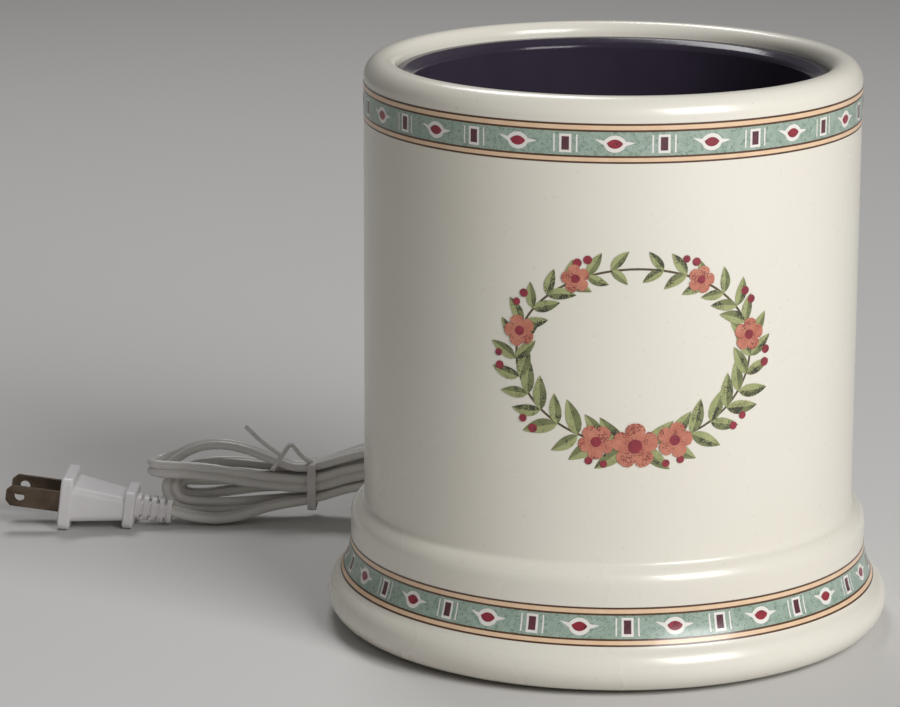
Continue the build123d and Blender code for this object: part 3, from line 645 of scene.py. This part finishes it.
def add_petal(shape, along, up, turn, length, width, rise, material):
    """A broad round petal."""
    made = bmesh.ops.create_circle(shape, cap_ends=True, segments=14, radius=1)["verts"]
    colour_faces(made, material)
    for vert in made:
        share = (vert.co.x + 1) / 2
        vert.co = (length * share, vert.co.y * width / 2 * (0.45 + 0.75 * share), rise)
    set_down(shape, made, along, up, turn)


def add_blossom(shape, along, up, size, turn, rise):
    """Five petals about a dark red heart."""
    for index in range(PETALS):
        petal_turn = turn + index * 2 * pi / PETALS
        add_petal(shape, along, up, petal_turn, size, size * 0.95, rise + 0.01 * index, TERRACOTTA)
    made = bmesh.ops.create_circle(shape, cap_ends=True, segments=12, radius=size * 0.3)["verts"]
    colour_faces(made, RED)
    for vert in made:
        vert.co.z = rise + HEART_RISE
    set_down(shape, made, along, up, 0)


def add_berry(shape, along, up, size, rise):
    """One dark red berry."""
    made = bmesh.ops.create_circle(shape, cap_ends=True, segments=12, radius=size)["verts"]
    colour_faces(made, RED)
    for vert in made:
        vert.co.z = rise
    set_down(shape, made, along, up, 0)


def make_wreath():
    """A wreath of two leafy branches that meet at the top, with blossoms and berries."""
    shape = bmesh.new()
    stem = bmesh.ops.create_circle(shape, cap_ends=False, segments=120, radius=1)["verts"]
    bmesh.ops.scale(shape, vec=(WREATH_WIDE, WREATH_TALL, 1), verts=stem)
    edges = list({edge for vert in stem for edge in vert.link_edges})
    inner = bmesh.ops.extrude_edge_only(shape, edges=edges)["geom"]
    inner = [part for part in inner if isinstance(part, bmesh.types.BMVert)]
    bmesh.ops.scale(shape, vec=(1 - STEM_WIDE / WREATH_WIDE, 1 - STEM_WIDE / WREATH_TALL, 1), verts=inner)
    for face in shape.faces:
        face.material_index = BRANCH
    for side in (-1, 1):
        for step in range(BRANCH_STEPS):
            share = (step + 0.4) / BRANCH_STEPS
            sweep_angle = -pi / 2 + side * pi * share * BRANCH_REACH
            along, up = WREATH_WIDE * cos(sweep_angle), WREATH_TALL * sin(sweep_angle)
            heading = atan2(side * WREATH_TALL * cos(sweep_angle), -side * WREATH_WIDE * sin(sweep_angle))
            size = 1.0 - 0.35 * share
            for lean in (-1, 1):
                turn = heading + lean * radians(chance.uniform(36, 54))
                length = chance.uniform(9.0, 11.0) * size
                add_leaf(shape, along, up, turn, length, length * LEAF_SLIM, 0.02 + 0.004 * step)
            if step % 3 == 1:
                turn = heading + side * radians(-90)
                reach = BERRY_REACH * size
                for lean in (-BERRY_SPREAD, BERRY_SPREAD):
                    add_berry(
                        shape, along + reach * cos(turn + lean), up + reach * sin(turn + lean),
                        chance.uniform(0.95, 1.25), BERRY_RISE,
                    )
    for along, up, size, turn in BLOSSOMS:
        add_blossom(shape, along, up, size, turn, BLOSSOM_RISE)
    wrap_on_wall(shape, WREATH_MIDDLE, BODY_R, PRINT_LIFT)
    bmesh.ops.recalc_face_normals(shape, faces=shape.faces)
    face_outwards(shape)
    return new_piece("leaf_wreath", shape, [LEAF_LIGHT, LEAF_DARK, PETAL, PRINT_RED, STEM])


make_wreath()

# Flat cord: its route in the crock's frame, then in the hank's own axes (along, up, across), with
# the way its width points, in the same axes, where it isn't level
HANK_TURN = radians(6)
HANK_CENTRE = Vector((-82.2, 101.1, 12.3))
HANK_ALONG = Vector((-cos(HANK_TURN), sin(HANK_TURN), 0))
HANK_ACROSS = Vector((sin(HANK_TURN), cos(HANK_TURN), 0))
CORD_THICK = 2.8
LEAD_ROUTE = [(0, 97, 24), (0, 114, 24), (-11, 126, 20), (-32, 126, 13)]
HANK_ROUTE = [
    (-29, -2.4, 3.6), (-14.8, -1.2, 3.5), (0, -6.1, 3.2), (13, -7.6, 0.4, (0, 0.6, 0.8)),
    (24, -8.1, -2.6, (0, 1, 0.2)), (36, -8.2, -3, (-0.3, 1, 0)), (42.8, -7.4, -2.4, (-0.7, 0.7, 0)),
    (45.4, -2.6, -1.8, (-1, 0.2, 0.2)), (43.4, 1.4, 0.2, (-0.7, 0, 0.6)), (37, 3.8, 2.8), (28, 5.2, 3.4),
    (12, 3.8, 3.4), (0, 3.5, 3.4), (-14.8, 9.4, 3.4), (-44, 19.2, 3.4), (-57, 19.2, 3.4),
    (-62.2, 14, 3.4), (-62.2, 6.7, 3.4), (-57, 1.5, 3.4), (-44, 1.8, 3.4), (-14.8, 2.4, 3.4),
    (0, -2.9, 3.3), (14, -2.7, 3.4), (26, -4.6, 3.4), (35, -6, 4.2), (42.2, -5.8, 4.6),
    (42.2, -1.6, 4.6), (35, -1.4, 4), (26, -1, 3.4), (12, 0.6, 3.4), (0, 0.3, 3.3), (-14.8, 5.9, 3.4),
    (-44, 15.4, 3.4), (-53.6, 15.4, 3.4), (-58, 12.3, 3.4), (-58, 8.6, 3.4), (-53.6, 5.8, 3.4),
    (-44, 6.6, 1), (-14.8, 4.8, -4.5, (0, 0.95, 0.3)), (0, -0.4, -4.6, (0, 1, 0)),
    (12, 0.6, -4.8, (0, 1, 0)), (22, 2, -5, (0, 1, 0)), (35, 3.9, -5, (0, 1, 0)),
    (47.4, 4.1, -5, (0, 1, 0)), (50.8, 4.2, -2.6, (0, 1, 0)), (50.8, 3.6, 1.4, (0, 1, 0)),
    (48.8, 3.2, 4.6, (0, 0.9, 0.4)), (43.4, 6, 4.8, (0, 0.4, 0.9)), (37.4, 9.4, 3.6), (30, 11.1, 2.2),
    (21, 10.2, 0.2), (12, 7, -1.8), (3, 4.3, -3), (-14.5, 9.8, -3), (-43, 17.5, -3.2), (-57, 17.5, -3.2),
    (-61.5, 13, -3.2), (-61.5, 6.5, -3.2), (-57, 2, -3.2), (-43, 1.4, -3.2), (-14.5, 0, -3.2),
    (0, -5.2, -3.2), (13, -6.8, -5), (24, -10.3, -8), (34.4, -10.3, -10), (45.3, -7.5, -10),
]
LEVEL = (0, 0, 1)
ROUTE_STEPS = 12
WEB_SHARE = 0.3
CORE_OPEN = 150


def hank_point(along, up, across):
    """A point of the hank's own axes in the crock's frame."""
    return HANK_CENTRE + HANK_ALONG * along + Vector((0, 0, up)) + HANK_ACROSS * across


def smooth_line(points, steps):
    """Points along a smooth line that has the given control points."""
    curve = bpy.data.curves.new("route", "CURVE")
    curve.dimensions = "3D"
    spline = curve.splines.new("NURBS")
    spline.points.add(len(points) - 1)
    for place, point in zip(spline.points, points):
        place.co = (*point, 1)
    spline.order_u = 3
    spline.use_endpoint_u = True
    spline.resolution_u = steps
    holder = bpy.data.objects.new("route", curve)
    mesh = bpy.data.meshes.new_from_object(holder)
    line = [vert.co.copy() for vert in mesh.vertices]
    bpy.data.meshes.remove(mesh)
    bpy.data.objects.remove(holder)
    bpy.data.curves.remove(curve)
    return line


def sweep_along(shape, outline, line, sides):
    """Draws a closed outline along a line, from cap to cap, its width along the side given at each place."""
    wide = shape.verts.layers.float.get("wide") or shape.verts.layers.float.new("wide")
    thick = shape.verts.layers.float.get("thick") or shape.verts.layers.float.new("thick")
    ring_verts = [shape.verts.new() for part in outline]
    for vert, (across, over) in zip(ring_verts, outline):
        vert[wide] = across
        vert[thick] = over
    shape.faces.new(ring_verts)
    ring = [shape.edges.get((one, two)) for one, two in zip(ring_verts, ring_verts[1:] + ring_verts[:1])]
    for index, point in enumerate(line):
        ahead = line[min(index + 1, len(line) - 1)] - line[max(index - 1, 0)]
        ahead.normalize()
        side = sides[index] - ahead * sides[index].dot(ahead)
        side.normalize()
        over = side.cross(ahead)
        if index:
            made = bmesh.ops.extrude_edge_only(shape, edges=ring)["geom"]
            ring_verts = [part for part in made if isinstance(part, bmesh.types.BMVert)]
            fresh = set(ring_verts)
            ring = [p for p in made if isinstance(p, bmesh.types.BMEdge) and fresh.issuperset(p.verts)]
        for vert in ring_verts:
            vert.co = point + side * vert[wide] + over * vert[thick]
    bmesh.ops.contextual_create(shape, geom=ring)


def twin_outline():
    """Outline of the flat twin cord: two round cores and the web between them."""
    core = CORD_THICK / 2
    angles = [radians(degrees) for degrees in range(-CORE_OPEN, CORE_OPEN + 1, 25)]
    right = [(core + core * cos(angle), core * sin(angle)) for angle in angles]
    web = core * WEB_SHARE
    return right + [(0, web)] + [(-x, -y) for x, y in right] + [(0, -web)]


def make_cord():
    """The flat cord in one length, from the boot through the hank to the plug."""
    route = [Vector(point) for point in LEAD_ROUTE] + [hank_point(*point[:3]) for point in HANK_ROUTE]
    line = smooth_line(route, ROUTE_STEPS)
    ways = [LEVEL] * len(LEAD_ROUTE) + [point[3] if len(point) > 3 else LEVEL for point in HANK_ROUTE]
    upright = Vector((0, 0, 1))
    ways = smooth_line(ways, ROUTE_STEPS)
    sides = [HANK_ALONG * way.x + upright * way.y + HANK_ACROSS * way.z for way in ways]
    lead_steps = ROUTE_STEPS * (len(LEAD_ROUTE) - 1)
    for index in range(lead_steps):
        sides[index] = (line[index + 1] - line[index]).cross(upright).normalized()
    shape = bmesh.new()
    sweep_along(shape, twin_outline(), line, sides)
    bmesh.ops.recalc_face_normals(shape, faces=shape.faces)
    cord_nodes = ["cord_lead", "cord_hank", "cord_tail"]
    cord = new_piece("flat_cord", shape, [PVC], cord_nodes, radians(70))
    length = sum((after - before).length for before, after in zip(line, line[1:]))
    print("flat cord length", round(length, 1))
    return cord, [point * MM for point in line]


# Twist tie
TIE_OUTLINE = ((-1.3, -0.25), (-0.55, -0.3), (0, -0.45), (0.55, -0.3), (1.3, -0.25),
               (1.3, 0.25), (0.55, 0.3), (0, 0.45), (-0.55, 0.3), (-1.3, 0.25))
TIE_STEPS = 10
BENT_NARROW = 0.62
FREE_NARROW = 0.55
END_THICK = 1.5
TIE_LOOP = [(0, 6.4, 0), (0, 5.9, 4.6), (0, 5.4, 6.6), (0, 3, 7), (0, -5, 7), (0, -7.8, 6.6), (0, -8.1, 4),
            (0, -8.1, -4), (0, -7.8, -6.6), (0, -5, -7), (0, 3, -7), (0, 6.3, -6.8), (0, 6.9, -4.6),
            (0, 6.4, 0)]
TIE_BENT = [(-0.2, 7, -4.4), (2.2, 7.8, -5.2), (5.2, 11.8, -5.8), (6.4, 13.4, -5.9), (7.6, 12, -6),
            (10, 8.2, -6.6), (12.2, 5, -7.2)]
TIE_FREE = [(9, 9.2, -5.9), (11.2, 10.6, -6), (14, 12.6, -6.1), (17, 15.2, -6.3), (20.6, 18.9, -6.4)]


def make_tie():
    """The tie: a band round the hank's waist, and its two ends on top."""
    shape = bmesh.new()
    for route, side, narrow, thick in (
        (TIE_LOOP, HANK_ALONG, 1, 1),
        (TIE_BENT, HANK_ACROSS, BENT_NARROW, END_THICK),
        (TIE_FREE, HANK_ACROSS, FREE_NARROW, END_THICK),
    ):
        line = smooth_line([hank_point(*point) for point in route], TIE_STEPS)
        outline = [(x * narrow, y * thick) for x, y in TIE_OUTLINE]
        sweep_along(shape, outline, line, [side] * len(line))
    bmesh.ops.recalc_face_normals(shape, faces=shape.faces)
    return new_piece("twist_tie_strip", shape, [TIE_WHITE], ["twist_tie"], radians(60))


cord, cord_path = make_cord()
tie = make_tie()


# Stage: floor, lights and camera
def make_floor():
    """A plain pale floor."""
    shape = bmesh.new()
    bmesh.ops.create_grid(shape, x_segments=1, y_segments=1, size=FLOOR_HALF)
    mesh = bpy.data.meshes.new("floor")
    shape.to_mesh(mesh)
    shape.free()
    pale = finish("pale_floor", srgb(214, 212, 210), srgb(208, 206, 204), 0.6, 0.7, scale=2, relief=0.0)
    mesh.materials.append(pale)
    floor = bpy.data.objects.new("floor", mesh)
    scene.collection.objects.link(floor)


def soft_light(name, place, size, power):
    """A square soft box that faces the object."""
    lamp = bpy.data.lights.new(name, "AREA")
    lamp.size = size
    lamp.energy = power
    box = bpy.data.objects.new(name, lamp)
    box.location = place
    box.rotation_euler = (Vector(LIGHT_AIM) - Vector(place)).to_track_quat("-Z", "Y").to_euler()
    scene.collection.objects.link(box)


def make_camera():
    """The camera at the photograph's viewing angle."""
    data = bpy.data.cameras.new("camera")
    data.lens = CAMERA_LENS
    data.sensor_width = CAMERA_SENSOR
    ahead = Vector(CAMERA_AIM).normalized()
    level = ahead.cross(Vector((0, 0, 1))).normalized()
    upright = level.cross(ahead)
    right = level * cos(CAMERA_ROLL) + upright * sin(CAMERA_ROLL)
    above = upright * cos(CAMERA_ROLL) - level * sin(CAMERA_ROLL)
    camera = bpy.data.objects.new("camera", data)
    facing = Matrix((right, above, -ahead)).transposed().to_4x4()
    camera.matrix_world = Matrix.Translation(CAMERA_PLACE) @ facing
    scene.collection.objects.link(camera)
    scene.camera = camera


make_floor()
make_camera()
soft_light("key_right", place=(0.78, -1.10, 0.92), size=0.8, power=21.5)
soft_light("fill_left", place=(-1.3, -0.7, 0.6), size=1.0, power=0.3)
soft_light("top", place=(-0.15, 0.85, 1.2), size=0.45, power=5)
world = bpy.data.worlds.new("studio")
world.use_nodes = True
backdrop = world.node_tree.nodes["Background"]
backdrop.inputs["Color"].default_value = WHITE
backdrop.inputs["Strength"].default_value = WORLD_STRENGTH
scene.world = world
